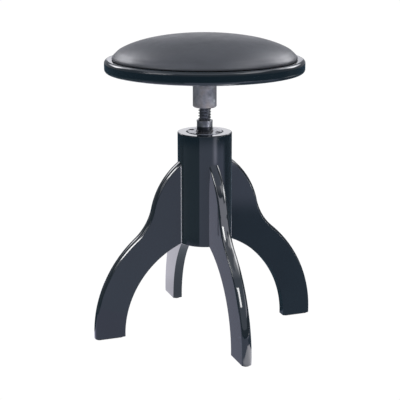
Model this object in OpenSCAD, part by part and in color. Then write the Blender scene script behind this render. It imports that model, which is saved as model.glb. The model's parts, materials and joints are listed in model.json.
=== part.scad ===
// Revolving piano stool: a padded round seat on a steel screw, which turns in a nut let into
// the top of a lacquered column on four curved legs. Turning the seat raises or lowers it.
// Millimetres, +Z up, origin on the floor on the column's axis, legs along X and Y.

/* [Seat board] */
// Diameter of the round seat board
seat_d = 350; // [335:5:380]
// Thickness of the seat board
seat_t = 22; // [18:1:28]
// Rounding of the seat board's rim, above and below
seat_round = 6; // [3:0.5:8]

/* [Cushion] */
// Diameter of the cushion where it is widest
cushion_d = 326; // [300:2:336]
// Height of the cushion's crown above the seat board
cushion_h = 42; // [30:1:55]
// Bluntness of the roll at the cushion's side, where 1 gives a plain ellipse
roll_power = 0.88; // [0.7:0.01:1]
// Fall of the crown toward the side, where 1 gives a plain ellipse
crown_power = 1.27; // [1:0.01:1.4]
// How far the cushion's side draws in at the bottom
tuck_in = 2.5; // [1:0.5:6]
// Height over which the side draws in
tuck_h = 4; // [3:0.5:8]
// Thickness of the leatherette cover
cover_t = 1.2; // [0.8:0.1:2]
// Width of the hem that is turned in under the base
hem_w = 26; // [18:1:40]
// Thickness of the plywood base under the foam
base_t = 8; // [6:1:12]
// Width of the foam that wraps round the base's edge
foam_edge = 2.5; // [1.5:0.5:6]

/* [Cushion fixings] */
// Number of staples that hold the hem
staple_count = 24; // [12:2:36]
// Width of a staple's crown
staple_w = 10; // [8:1:14]
// Length of a staple's legs
staple_leg = 6; // [4:0.5:6]
// Thickness of the staple wire
staple_wire = 0.7; // [0.5:0.1:0.9]
// Number of screws that hold the cushion
cushion_screws_n = 4; // [3:1:6]
// Distance from the hem's inner edge to the centre of a cushion screw
cushion_screw_inset = 19; // [10:1:35]
// Depth that a cushion screw bites into the base
cushion_screw_bite = 6; // [4:0.5:6]

/* [Wood screws] */
// Diameter of the wood screws
screw_d = 5; // [4:0.5:6]
// Diameter of their countersunk heads
screw_head_d = 10; // [8:0.5:11]
// Height of a head's straight rim
screw_rim = 0.6; // [0.4:0.1:1]
// Length of a screw's point
screw_point = 4; // [2:0.5:5]

/* [Seat plate and sleeve] */
// Diameter of the steel plate under the seat
plate_d = 130; // [110:5:160]
// Thickness of the steel plate
plate_t = 5; // [4:0.5:8]
// Number of plate screws
plate_screws_n = 4; // [3:1:6]
// Distance from the plate's edge to the centre of a plate screw
plate_screw_inset = 15; // [12:0.5:20]
// Depth that a plate screw bites into the seat board
plate_screw_bite = 14; // [10:1:16]
// Diameter of the sleeve under the seat
sleeve_d = 42; // [34:1:50]
// Length of the sleeve below the seat board
sleeve_len = 63; // [50:1:80]
// Bevel at the sleeve's lower end
sleeve_bevel = 2; // [1:0.5:4]
// Height of the weld bead between sleeve and plate
weld_h = 4; // [2:0.5:6]
// Depth that the screw is set into the sleeve
screw_socket = 52; // [35:1:58]
// Diameter of the cross pin through sleeve and screw
pin_d = 6; // [4:0.5:8]
// Height of the cross pin above the sleeve's lower end
pin_rise = 12; // [8:1:25]
// Direction of the cross pin, from the right-hand leg
pin_angle = -55; // [-90:5:90]

/* [Lifting screw] */
// Outer diameter of the screw thread
spindle_d = 22; // [18:1:24]
// Rise of the seat for each turn
pitch = 5; // [3:0.5:6]
// Turns that the seat can go up from the height shown
turns_up = 17; // [10:1:20]
// Turns that the seat can go down from the height shown
turns_down = 4.5; // [2:0.5:4.5]
// Thread in view between nut and sleeve at the height shown
thread_shown = 23; // [23:1:40]
// Diameter of the turned journal at the screw's lower end
journal_d = 16; // [14:1:18]

/* [Nut] */
// Diameter of the nut's collar above the column
collar_d = 28.5; // [26:0.5:34]
// Height of the collar above the column
collar_h = 21; // [12:1:30]
// Diameter of the nut's flange
flange_d = 66; // [62:1:74]
// Thickness of the flange
flange_t = 6; // [4:0.5:9]
// Height that the flange stands out of the column's top
flange_proud = 1; // [0.5:0.5:3]
// Length of the nut's barrel below the flange
barrel_len = 30; // [20:1:40]
// Bevel at the nut's mouth and edges
nut_bevel = 1.2; // [0.5:0.1:1.6]
// Number of nut screws
nut_screws_n = 4; // [3:1:6]
// Distance from the flange's edge to the centre of a nut screw
nut_screw_inset = 7; // [6.5:0.5:8]
// Depth that a nut screw bites into the column
nut_screw_bite = 22; // [15:1:30]

/* [Guide and stop] */
// Height of the guide that keeps the screw's lower end central
guide_h = 14; // [10:1:20]
// Diameter of the stop washer
washer_d = 28; // [24:1:30]
// Thickness of the stop washer
washer_t = 2.5; // [2:0.5:4]
// Diameter of the stop bolt
bolt_d = 10; // [8:1:10]
// Length of the stop bolt's shank
bolt_len = 25; // [18:1:35]
// Width of the stop bolt's head across its flats
bolt_flats = 17; // [13:1:18]
// Height of the stop bolt's head
bolt_head_h = 6.4; // [5:0.2:8]

/* [Column] */
// Diameter of the column
column_d = 96.5; // [90:0.5:110]
// Length of the column
column_len = 200; // [185:5:240]
// Height of the column's underside above the floor
column_base = 165; // [140:5:190]
// Rounding of the column's edges
column_round = 1.5; // [0.5:0.5:4]
// Diameter of the bore in the column
bore_d = 34; // [32:1:38]
// Room left under the stop bolt with the seat right down
bore_spare = 8; // [4:1:12]

/* [Legs] */
// Reach of a leg's outer edge from the axis, at the floor
stance_r = 209.5; // [190:0.5:230]
// Width of a foot
foot_w = 55; // [45:0.5:62]
// Thickness of a leg
leg_t = 18; // [16:1:26]
// Distance from the column's top down to where a leg's back meets it
leg_drop = 51; // [35:1:65]
// Height of the upright stretch at the foot
foot_rise = 10; // [4:1:20]
// Radius of the leg's knee
knee_r = 224; // [205:1:260]
// Radius of the hollow above the knee
waist_r = 98; // [60:2:120]
// Radius of the shoulder
shoulder_r = 138; // [120:2:180]
// Slope of the shoulder where it meets the column, from upright
shoulder_slope = 53; // [45:1:60]
// Radius of the arch between foot and column
arch_r = 175; // [166:1:240]
// Rounding of a leg's outer edges
leg_round = 5.5; // [3:0.5:7]
// Easing of a leg's other edges
leg_ease = 1; // [0.5:0.25:2]

/* [Dowels and pads] */
// Dowels in each leg
dowels_per_leg = 3; // [2:1:3]
// Diameter of a dowel
dowel_d = 10; // [8:1:12]
// Depth of a dowel in the column
dowel_in_column = 22; // [15:1:24]
// Depth of a dowel in the leg
dowel_in_leg = 20; // [12:1:22]
// Height of the lowest dowel above the column's underside
dowel_first = 25; // [15:1:30]
// Height from one dowel to the next
dowel_step = 36; // [20:1:40]
// Thickness of the felt pad under a foot
pad_t = 1.5; // [1:0.5:4]
// Distance of the pad's edge from the foot's edge
pad_inset = 2.5; // [1.5:0.5:4]

/* [Fits] */
// Gap round a screw, dowel or pin in its hole
fit_gap = 0.05; // [0.02:0.01:0.1]
// Running gap between the screw and its nut
thread_gap = 0.08; // [0.05:0.01:0.1]
// Running gap round the guide, and round the journal in it
guide_gap = 0.08; // [0.05:0.01:0.1]
// Play of the guide along the journal, at each end
guide_play = 0.3; // [0.2:0.05:0.5]
// Room left between the guide and the nut with the seat right up
stop_gap = 1; // [0.5:0.25:3]

/* [Hidden] */

$fn = 96;

// one leg for each leg node
legs_n = 4;

// what cuts run past the faces they cut
over = 1;

// heights, from the floor up
column_top = column_base + column_len;
flange_top = column_top + flange_proud;
nut_low = flange_top - flange_t - barrel_len;
sleeve_low = column_top + collar_h + thread_shown;
seat_under = sleeve_low + sleeve_len;
seat_top = seat_under + seat_t;
base_low = seat_top + cover_t;
screw_top = sleeve_low + screw_socket;

// inner edge of the hem under the cushion, and the edge of the base above it
hem_r = cushion_d / 2 - tuck_in - hem_w;
base_r = min(crown_radius(cover_t, cover_t + base_t), cushion_d / 2 - cover_t - tuck_in) - foam_edge;

// the guide hangs below the nut by the travel upwards
guide_top = nut_low - stop_gap - turns_up * pitch;
guide_low = guide_top - guide_h;
shoulder_z = guide_top + guide_play;
journal_low = guide_low - guide_play;
washer_low = journal_low - washer_t;
bore_low = washer_low - bolt_head_h - turns_down * pitch - bore_spare;

// a leg's outline lies in the plane of radius and height
column_r = column_d / 2;
foot_z = pad_t;
foot_in_r = stance_r - foot_w;
leg_top_z = column_top - leg_drop;
knee_c = [stance_r - knee_r, foot_rise];
shoulder_c = [column_r - shoulder_r * cos(shoulder_slope), leg_top_z - shoulder_r * sin(shoulder_slope)];
waist_c = meeting_point(knee_c, knee_r + waist_r, shoulder_c, shoulder_r + waist_r);
knee_end = bearing(waist_c - knee_c);
shoulder_start = bearing(waist_c - shoulder_c);

// the arch under a leg runs from the foot to the column's lower edge
arch_foot = [foot_in_r, foot_rise];
arch_top = [column_r, column_base];
arch_c = meeting_point(arch_top, arch_r, arch_foot, arch_r);
arch_start = bearing(arch_foot - arch_c);
arch_end = bearing(arch_top - arch_c);

// the blank of a leg runs on into the column before its end is hollowed to fit
blank_out_r = column_r - leg_t / 2;
blank_in_r = column_r - leg_t;
shoulder_end = acos((blank_out_r - shoulder_c.x) / shoulder_r);
knee_steps = 20;
waist_steps = 14;
shoulder_steps = 14;
corner_steps = 4;
// most of the arch that the knee may face, as a share
knee_arch_share = 0.8;
// share of the hollow that faces the last of the arch
arch_share = 0.5;
// share of the column's joint that faces the rest of the hollow
joint_share = 0.35;

// direction of a vector in the leg's plane, in degrees
function bearing(v) = atan2(v.y, v.x);

// point on a circle about c
function on_circle(c, r, angle) = c + r * [cos(angle), sin(angle)];

// the outer point that lies ra from a and rb from b
function meeting_point(a, ra, b, rb) =
    let (d = b - a)
    let (gap = norm(d))
    let (along = (gap * gap + ra * ra - rb * rb) / (2 * gap))
    let (aside = sqrt(ra * ra - along * along))
    a + d * along / gap + [d.y, -d.x] * aside / gap;

// the outer edge of a leg: foot, knee, hollow and shoulder
leg_outer = concat(
    [[stance_r - leg_ease, foot_z], [stance_r, foot_z + leg_ease]],
    [for (i = [0 : knee_steps]) on_circle(knee_c, knee_r, knee_end * i / knee_steps)],
    [for (i = [1 : waist_steps])
        on_circle(waist_c, waist_r, 180 + knee_end + (shoulder_start - knee_end) * i / waist_steps)],
    [for (i = [1 : shoulder_steps])
        on_circle(shoulder_c, shoulder_r,
                  shoulder_start + (shoulder_end - shoulder_start) * i / shoulder_steps)]);

// the inner edge, point for point: foot, arch and the stretch inside the column
arch_knee = min(knee_end, arch_end * knee_arch_share);
arch_steps = round(waist_steps * arch_share);
joint_steps = waist_steps - arch_steps;
blank_end = leg_outer[len(leg_outer) - 1];
blank_top = blank_end.y - (blank_out_r - blank_in_r) * tan(shoulder_end);
joint_mid = column_base + (blank_top - column_base) * joint_share;
leg_inner = concat(
    [[foot_in_r + leg_ease, foot_z], [foot_in_r, foot_z + leg_ease]],
    [for (i = [0 : knee_steps])
        on_circle(arch_c, arch_r, arch_start + (arch_knee - arch_start) * i / knee_steps)],
    [for (i = [1 : arch_steps])
        on_circle(arch_c, arch_r, arch_knee + (arch_end - arch_knee) * i / arch_steps)],
    [for (i = [1 : joint_steps])
        [blank_in_r, column_base + (joint_mid - column_base) * (i - 1) / (joint_steps - 1)]],
    [for (i = [1 : shoulder_steps])
        [blank_in_r, joint_mid + (blank_top - joint_mid) * i / shoulder_steps]]);

// one cross-section of a leg, from its inner point p to its outer point q, w thick
function leg_ring(p, q, w) =
    let (span = norm(q - p))
    let (u = (q - p) / span)
    let (half = w / 2)
    let (right = concat(
        [[0, leg_ease - half], [leg_ease, -half]],
        [for (k = [0 : corner_steps])
            let (a = 90 * k / corner_steps)
            [span - leg_round + leg_round * sin(a), leg_round - half - leg_round * cos(a)]]))
    let (left = [for (k = [len(right) - 1 : -1 : 0]) [right[k].x, -right[k].y]])
    [for (s = concat(right, left)) [p.x + u.x * s.x, s.y, p.y + u.y * s.x]];

// a skin over rings that all have as many points
module skin(rings) {
    n = len(rings[0]);
    last = len(rings) - 1;
    points = [for (r = rings) for (p = r) p];
    walls = [for (i = [0 : last - 1]) for (j = [0 : n - 1])
        let (k = (j + 1) % n)
        each [[i * n + j, (i + 1) * n + j, i * n + k], [i * n + k, (i + 1) * n + j, (i + 1) * n + k]]];
    first_face = [for (j = [0 : n - 1]) j];
    last_face = [for (j = [n - 1 : -1 : 0]) last * n + j];
    polyhedron(points, concat(walls, [first_face, last_face]));
}

// a round disc with its rim rounded above and below
module rounded_disc(r, h, round) {
    rotate_extrude() {
        square([r - round, h]);
        translate([0, round])
            square([r, h - 2 * round]);
        for (z = [round, h - round])
            translate([r - round, z])
                circle(round);
    }
}

// a countersunk wood screw, head up at z = 0 and point down; grow widens it to cut its hole
module wood_screw(bite, grow = 0) {
    cone_h = (screw_head_d - screw_d) / 2;
    translate([0, 0, -screw_rim])
        cylinder(h = screw_rim + (grow > 0 ? over : 0), d = screw_head_d + 2 * grow);
    translate([0, 0, -screw_rim - cone_h])
        cylinder(h = cone_h, d1 = screw_d + 2 * grow, d2 = screw_head_d + 2 * grow);
    translate([0, 0, screw_point - bite])
        cylinder(h = bite - screw_point - screw_rim - cone_h, d = screw_d + 2 * grow);
    translate([0, 0, -bite - grow])
        cylinder(h = screw_point + grow, d1 = screw_rim, d2 = screw_d + 2 * grow);
}

// places its children evenly on a circle of radius r
module ring_of(count, r, turn = 0) {
    for (i = [0 : count - 1])
        rotate(turn + 360 * i / count)
            translate([r, 0, 0])
                children();
}

// the screws of the nut stand between the legs
module nut_screw_set(grow = 0) {
    translate([0, 0, flange_top])
        ring_of(nut_screws_n, flange_d / 2 - nut_screw_inset, 180 / nut_screws_n)
            wood_screw(flange_t + nut_screw_bite, grow);
}

// the screws of the seat plate, driven from below
module plate_screw_set(grow = 0) {
    translate([0, 0, seat_under - plate_t])
        ring_of(plate_screws_n, plate_d / 2 - plate_screw_inset, 180 / plate_screws_n)
            mirror([0, 0, 1])
                wood_screw(plate_t + plate_screw_bite, grow);
}

// the screws that hold the cushion, driven from below through the seat board
module cushion_screw_set(grow = 0) {
    translate([0, 0, seat_under])
        ring_of(cushion_screws_n, hem_r - cushion_screw_inset)
            mirror([0, 0, 1])
                wood_screw(seat_t + cover_t + cushion_screw_bite, grow);
}

// staples: the crown lies flush in the hem and the legs go up into the base
module staple_set() {
    translate([0, 0, seat_top])
        ring_of(staple_count, hem_r + hem_w / 2)
            for (side = [-1, 0, 1])
                translate([-staple_wire, side * (staple_w - staple_wire) / 2, 0])
                    translate([0, side == 0 ? -staple_w / 2 : -staple_wire / 2, 0])
                        cube([2 * staple_wire, side == 0 ? staple_w : staple_wire,
                              side == 0 ? staple_wire : staple_leg]);
}

// dowels of one leg that points along +X
module dowel_row(grow = 0) {
    for (i = [0 : dowels_per_leg - 1])
        translate([column_r - dowel_in_column - grow, 0, column_base + dowel_first + i * dowel_step])
            rotate([0, 90, 0])
                cylinder(h = dowel_in_column + dowel_in_leg + 2 * grow, d = dowel_d + 2 * grow);
}

// radius of the crown, t inside its outer face, at height z above the seat board
function crown_radius(t, z) =
    let (rise_share = max(0, z - tuck_h) / (cushion_h - tuck_h - t))
    (cushion_d / 2 - t) * pow(cos(asin(pow(rise_share, 1 / crown_power))), roll_power);

// half of the cushion's outline, t inside its outer face, from the bottom up to the crown
function cushion_edge(t) =
    let (a = cushion_d / 2 - t)
    let (b = cushion_h - tuck_h - t)
    concat(
        [for (s = [90 : -18 : 18]) [a - tuck_in + tuck_in * cos(s), tuck_h - (tuck_h - t) * sin(s)]],
        [for (s = [0 : 3.75 : 90])
            [s == 90 ? 0 : a * pow(cos(s), roll_power), tuck_h + b * pow(sin(s), crown_power)]]);

module column() {
    color([0.1, 0.1, 0.12])
    difference() {
        translate([0, 0, column_base])
            rounded_disc(column_r, column_len, column_round);
        translate([0, 0, bore_low])
            cylinder(h = column_top - bore_low + over, d = bore_d);
        translate([0, 0, flange_top - flange_t])
            cylinder(h = flange_t + over, d = flange_d + 2 * fit_gap);
        for (i = [0 : legs_n - 1])
            rotate(360 * i / legs_n)
                dowel_row(fit_gap);
        nut_screw_set(fit_gap);
    }
}

module leg(index) {
    color([0.13, 0.13, 0.16])
    rotate(360 * index / legs_n)
        difference() {
            skin([for (i = [0 : len(leg_outer) - 1])
                leg_ring(leg_inner[i], leg_outer[i], i == 0 ? leg_t - 2 * leg_ease : leg_t)]);
            translate([0, 0, column_base - over])
                cylinder(h = column_len + over, r = column_r);
            dowel_row(fit_gap);
        }
}

module leg_dowels() {
    color("burlywood")
    for (i = [0 : legs_n - 1])
        rotate(360 * i / legs_n)
            dowel_row();
}

module foot_pads() {
    color([0.2, 0.2, 0.2])
    for (i = [0 : legs_n - 1])
        rotate(360 * i / legs_n)
            linear_extrude(pad_t) {
                pad_w = leg_t - 2 * pad_inset;
                near = foot_in_r + pad_inset + pad_w / 2;
                far = stance_r - pad_inset - pad_w / 2;
                translate([near, -pad_w / 2])
                    square([far - near, pad_w]);
                for (x = [near, far])
                    translate([x, 0])
                        circle(d = pad_w);
            }
}

module spindle_nut() {
    barrel_d = bore_d - 2 * fit_gap;
    nut_bore_d = spindle_d + 2 * thread_gap;
    color([0.3, 0.3, 0.33])
    difference() {
        union() {
            translate([0, 0, nut_low])
                cylinder(h = barrel_len, d = barrel_d);
            translate([0, 0, nut_low + barrel_len])
                cylinder(h = flange_t, d = flange_d);
            translate([0, 0, flange_top])
                cylinder(h = column_top + collar_h - flange_top, d = collar_d);
        }
        translate([0, 0, nut_low - over])
            cylinder(h = column_top + collar_h - nut_low + 2 * over, d = nut_bore_d);
        translate([0, 0, column_top + collar_h - nut_bevel])
            cylinder(h = nut_bevel + over, d1 = nut_bore_d, d2 = nut_bore_d + 2 * (nut_bevel + over));
        nut_screw_set(fit_gap);
    }
}

module nut_screws() {
    color([0.08, 0.08, 0.09])
    nut_screw_set();
}

module spindle_guide() {
    color("ivory")
    translate([0, 0, guide_low])
        difference() {
            cylinder(h = guide_h, d = bore_d - 2 * guide_gap);
            translate([0, 0, -over])
                cylinder(h = guide_h + 2 * over, d = journal_d + 2 * guide_gap);
        }
}

// the cross pin's hole or the pin itself
module pin_rod(grow = 0) {
    translate([0, 0, sleeve_low + pin_rise])
        rotate([0, 0, pin_angle])
            rotate([0, 90, 0])
                cylinder(h = sleeve_d + (grow > 0 ? 2 * over : 0), d = pin_d + 2 * grow, center = true);
}

module spindle() {
    color([0.25, 0.25, 0.28])
    difference() {
        union() {
            translate([0, 0, journal_low])
                cylinder(h = shoulder_z - journal_low, d = journal_d);
            translate([0, 0, shoulder_z])
                cylinder(h = screw_top - shoulder_z, d = spindle_d);
        }
        translate([0, 0, journal_low - over])
            cylinder(h = bolt_len - washer_t + over, d = bolt_d + 2 * fit_gap);
        pin_rod(fit_gap);
    }
}

module stop_washer() {
    color("silver")
    translate([0, 0, washer_low])
        difference() {
            cylinder(h = washer_t, d = washer_d);
            translate([0, 0, -over])
                cylinder(h = washer_t + 2 * over, d = bolt_d + 2 * fit_gap);
        }
}

module stop_bolt() {
    color("silver")
    translate([0, 0, washer_low]) {
        cylinder(h = bolt_len, d = bolt_d);
        translate([0, 0, -bolt_head_h])
            cylinder(h = bolt_head_h, d = bolt_flats / cos(30), $fn = 6);
    }
}

module seat_sleeve() {
    color([0.5, 0.5, 0.52])
    difference() {
        union() {
            translate([0, 0, sleeve_low])
                cylinder(h = sleeve_bevel, d1 = sleeve_d - 2 * sleeve_bevel, d2 = sleeve_d);
            translate([0, 0, sleeve_low + sleeve_bevel])
                cylinder(h = sleeve_len - sleeve_bevel, d = sleeve_d);
            translate([0, 0, seat_under - plate_t - weld_h])
                cylinder(h = weld_h, d1 = sleeve_d, d2 = sleeve_d + 2 * weld_h);
        }
        translate([0, 0, sleeve_low - over])
            cylinder(h = screw_socket + over, d = spindle_d + 2 * fit_gap);
        pin_rod(fit_gap);
    }
}

// the pin's ends are ground off flush with the sleeve
module sleeve_pin() {
    color([0.7, 0.7, 0.72])
    intersection() {
        pin_rod();
        translate([0, 0, sleeve_low])
            cylinder(h = sleeve_len, d = sleeve_d);
    }
}

module seat_plate() {
    color([0.35, 0.35, 0.37])
    difference() {
        translate([0, 0, seat_under - plate_t])
            cylinder(h = plate_t, d = plate_d);
        translate([0, 0, seat_under - plate_t - over])
            cylinder(h = plate_t + 2 * over, d = sleeve_d + 2 * fit_gap);
        plate_screw_set(fit_gap);
    }
}

module plate_screws() {
    color("silver")
    plate_screw_set();
}

module seat_board() {
    color([0.06, 0.07, 0.08])
    difference() {
        translate([0, 0, seat_under])
            rounded_disc(seat_d / 2, seat_t, seat_round);
        plate_screw_set(fit_gap);
        cushion_screw_set(fit_gap);
    }
}

module cushion_base() {
    color("burlywood")
    difference() {
        translate([0, 0, base_low])
            cylinder(h = base_t, r = base_r);
        cushion_screw_set(fit_gap);
        staple_set();
    }
}

module cushion_foam() {
    color("khaki")
    difference() {
        translate([0, 0, seat_top])
            rotate_extrude()
                polygon(concat([[0, cover_t]], cushion_edge(cover_t)));
        translate([0, 0, base_low - over])
            cylinder(h = base_t + over, r = base_r);
    }
}

module cushion_cover() {
    inner = cushion_edge(cover_t);
    color([0.3, 0.31, 0.34])
    difference() {
        translate([0, 0, seat_top])
            rotate_extrude()
                polygon(concat([[hem_r, 0]], cushion_edge(0),
                               [for (i = [len(inner) - 1 : -1 : 0]) inner[i]], [[hem_r, cover_t]]));
        staple_set();
    }
}

module cover_staples() {
    color("silver")
    staple_set();
}

module cushion_screws() {
    color("silver")
    cushion_screw_set();
}

column();
leg(0);  // leg_right
leg(1);  // leg_back
leg(2);  // leg_left
leg(3);  // leg_front
leg_dowels();
foot_pads();
spindle_nut();
nut_screws();
spindle_guide();
spindle();
stop_washer();
stop_bolt();
seat_sleeve();
sleeve_pin();
seat_plate();
plate_screws();
seat_board();
cushion_base();
cushion_foam();
cushion_cover();
cover_staples();
cushion_screws();
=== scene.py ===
import json
import math

import bmesh
import bpy
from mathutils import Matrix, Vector

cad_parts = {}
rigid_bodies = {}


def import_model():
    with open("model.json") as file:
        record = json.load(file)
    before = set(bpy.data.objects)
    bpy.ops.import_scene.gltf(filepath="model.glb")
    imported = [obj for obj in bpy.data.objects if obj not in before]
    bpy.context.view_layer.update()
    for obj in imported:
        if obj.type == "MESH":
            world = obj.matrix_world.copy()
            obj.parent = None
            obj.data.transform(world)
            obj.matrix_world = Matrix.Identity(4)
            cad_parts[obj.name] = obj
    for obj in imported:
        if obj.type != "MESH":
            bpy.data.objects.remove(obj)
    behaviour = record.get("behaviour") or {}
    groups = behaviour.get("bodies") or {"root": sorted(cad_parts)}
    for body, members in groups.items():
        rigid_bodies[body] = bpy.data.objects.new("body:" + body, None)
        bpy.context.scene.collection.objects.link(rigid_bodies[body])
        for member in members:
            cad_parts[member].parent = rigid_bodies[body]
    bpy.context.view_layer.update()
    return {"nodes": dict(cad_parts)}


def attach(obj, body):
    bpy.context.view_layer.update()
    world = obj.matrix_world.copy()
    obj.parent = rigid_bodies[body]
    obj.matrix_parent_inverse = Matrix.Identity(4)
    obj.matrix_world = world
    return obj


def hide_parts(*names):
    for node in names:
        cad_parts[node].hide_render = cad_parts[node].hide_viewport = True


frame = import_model()
scene = bpy.context.scene
print("frame loaded:", len(frame["nodes"]), "nodes")

# the camera of the photograph, worked out from the seat's rim, the column and the feet
cameraValues = {
    "distance": 1.9446,  # from the column's axis, level
    "height": 0.7492,
    "pitch": 14.69,  # degrees down
    "turn": 20.18,  # degrees that the camera stands to the left of the front leg
    "lens": 100.6,
    "shiftX": -0.01175,
}


def makeCamera(values):
    turn, level = math.radians(values["turn"]), values["distance"]
    data = bpy.data.cameras.new("photoCamera")
    data.lens = values["lens"]
    data.sensor_width = 36.0
    data.shift_x = values["shiftX"]
    camera = bpy.data.objects.new("photoCamera", data)
    camera.location = (-level * math.sin(turn), -level * math.cos(turn), values["height"])
    camera.rotation_euler = (math.radians(90.0 - values["pitch"]), 0.0, -turn)
    scene.collection.objects.link(camera)
    scene.camera = camera


makeCamera(cameraValues)
scene.view_settings.view_transform = "Standard"
print("camera ready")


# the studio: a white room, and sheets and softboxes that only the gloss sees.
# Bearings are the photographer's: 0 lies straight behind the stool, 90 to its right and 180 at the camera.
studioValues = {
    "roomWhite": 1.0,
    "floorWhite": 1.02,
    "floorHalf": 9.0,
    "floorLevel": -0.0004,
    "sheetLevel": -0.002,
    "domeRadius": 6.0,
    "domeMiddle": 0.3,
    "dark": (0.05, 0.08, 0.11),
    # sheets on the floor: bearings, distances from the column, light, softness of the sides and of the ends
    "sheets": [
        (60.0, 139.6, 0.0, 1.30, (0.29, 0.35, 0.48), 0.2, 0.05),
        (30.0, 88.0, 0.60, 1.80, (0.10, 0.12, 0.15), 4.0, 0.10),
        (92.0, 150.0, 0.90, 1.70, (0.85, 0.92, 1.25), 12.0, 0.12),
        (275.0, 310.0, 0.50, 1.70, (0.13, 0.16, 0.18), 10.0, 0.15),
        (201.8, 280.0, 0.60, 1.70, (0.26, 0.32, 0.37), 0.6, 0.10),
        (201.8, 262.0, 0.0, 0.60, (0.88, 0.88, 1.19), 0.2, 0.03),
        (319.6, 372.0, 0.0, 0.75, (2.10, 2.05, 2.30), 0.2, 0.05),
        (319.6, 372.0, 0.0, 0.28, (1.80, 1.76, 1.98), 0.2, 0.05),
        (319.6, 372.0, 0.0, 0.16, (0.95, 1.02, 1.18), 0.2, 0.03),
        (139.6, 201.8, 0.0, 1.78, (0.86, 0.92, 1.20), 0.2, 0.16),
    ],
    # strips that lie along one line through the column: from and to across it, from and to along it,
    # how far the first side reaches along it, light, softness
    "stripBearing": 139.6,
    "stripSlope": 4.9,  # how fast a strip's end runs out from its first side
    "strips": [
        (-0.092, 0.0, -1.38, 0.30, 0.30, (0.53, 0.54, 0.69), 0.002, 0.03),
        (-0.128, 0.030, 0.198, 0.45, 0.168, (2.9, 2.9, 3.3), 0.004, 0.006),
        (-0.100, 0.030, 0.198, 0.44, 0.290, (4.2, 4.2, 4.6), 0.012, 0.006),
        (-0.060, 0.025, 0.198, 0.43, 0.430, (5.8, 5.7, 6.1), 0.020, 0.006),
    ],
    # glows on the floor: place across and along the same line, size across and along, how far out it
    # begins, light
    "glowEdge": 0.05,
    "glows": [
        (0.12, 1.65, 0.24, 0.40, 1.42, (2.1, 2.1, 2.5)),
        (0.36, 1.92, 0.10, 0.12, 1.88, (7.0, 7.0, 7.3)),
        (0.77, 2.06, 0.13, 0.14, 2.03, (46.0, 46.0, 46.6)),
        (1.60, 1.92, 0.30, 0.25, 2.33, (15.0, 14.6, 14.0)),
        (0.68, 1.90, 0.16, 0.18, 1.87, (3.2, 3.2, 3.4)),
        (1.15, 1.88, 0.20, 0.28, 1.97, (3.2, 3.2, 3.4)),
        (2.05, 0.85, 0.60, 0.50, 2.02, (2.8, 2.8, 2.9)),
    ],
    # low sheets, seen only by gloss that looks up through them: height, bearings at the near end and at the
    # far end, distances, light, softness of the sides and of the ends. The first six hang lower than the
    # column's top, the last three a little higher.
    "lowSheets": [
        (0.130, 160.9, 161.9, 159.2, 167.5, 0.170, 0.250, (20.0, 20.0, 20.0), 0.3, 0.003),
        (0.225, 162.0, 168.5, 162.0, 168.5, 0.119, 0.138, (24.0, 24.0, 24.0), 0.4, 0.001),
        (0.200, 137.0, 200.0, 137.0, 200.0, 0.155, 1.600, (0.95, 1.02, 1.20), 1.0, 0.004),
        (0.190, 214.0, 243.0, 214.0, 243.0, 0.133, 0.235, (26.0, 26.0, 26.0), 1.5, 0.006),
        (0.325, 213.0, 240.0, 213.0, 240.0, 0.075, 0.132, (22.0, 22.0, 22.0), 1.5, 0.005),
        (0.335, 140.0, 190.0, 140.0, 190.0, 0.045, 0.115, (1.05, 1.15, 1.40), 2.0, 0.004),
        (0.440, 137.0, 205.0, 137.0, 205.0, 0.330, 0.600, (3.2, 3.2, 3.6), 3.0, 0.012),
        (0.441, 108.0, 205.0, 108.0, 205.0, 0.470, 1.700, (3.2, 3.2, 3.6), 3.0, 0.020),
        (0.442, 86.0, 122.0, 86.0, 122.0, 0.270, 0.470, (13.0, 13.0, 13.3), 2.0, 0.012),
    ],
    "horizon": (0.26, 0.27, 0.30),
    "zenith": (0.52, 0.54, 0.60),
    # softboxes: bearing, elevation, width and height in degrees, light, softness in degrees
    "boxes": [
        (0.0, 7.3, 22.0, 4.6, (1.10, 1.10, 1.18), 1.0),
        (0.0, 11.9, 14.0, 4.6, (1.80, 1.80, 1.90), 1.0),
        (-42.0, 32.0, 36.0, 24.0, (3.4, 3.4, 3.6), 4.0),
        (43.0, 32.0, 38.0, 24.0, (3.6, 3.6, 3.8), 4.0),
        (-46.0, 29.0, 14.0, 12.0, (9.0, 9.0, 9.3), 2.0),
        (46.0, 29.0, 14.0, 12.0, (9.0, 9.0, 9.3), 2.0),
        (-66.0, 56.0, 44.0, 16.0, (1.5, 1.5, 1.7), 5.0),
        (70.0, 58.0, 50.0, 16.0, (3.4, 3.4, 3.6), 5.0),
        (180.0, 62.0, 170.0, 34.0, (1.3, 1.35, 1.50), 8.0),
        (117.0, 50.0, 34.0, 22.0, (4.0, 4.0, 4.2), 3.0),
        (236.0, 34.0, 30.0, 20.0, (3.6, 3.6, 3.8), 4.0),
    ],
}


def addMesh(name, points, faces, materials=()):
    mesh = bpy.data.meshes.new(name)
    mesh.from_pydata([tuple(p) for p in points], [], faces)
    mesh.update()
    for material in materials:
        mesh.materials.append(material)
    obj = bpy.data.objects.new(name, mesh)
    scene.collection.objects.link(obj)
    return obj


def glowMaterial(name, strength, painted=False):
    material = bpy.data.materials.new(name)
    material.use_nodes = True
    nodes, links = material.node_tree.nodes, material.node_tree.links
    nodes.clear()
    glow = nodes.new("ShaderNodeEmission")
    glow.inputs["Color"].default_value = (1.0, 1.0, 1.0, 1.0)
    glow.inputs["Strength"].default_value = strength
    if painted:
        paint = nodes.new("ShaderNodeAttribute")
        paint.attribute_name = "light"
        links.new(paint.outputs["Color"], glow.inputs["Color"])
    out = nodes.new("ShaderNodeOutputMaterial")
    links.new(glow.outputs["Emission"], out.inputs["Surface"])
    return material


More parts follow.
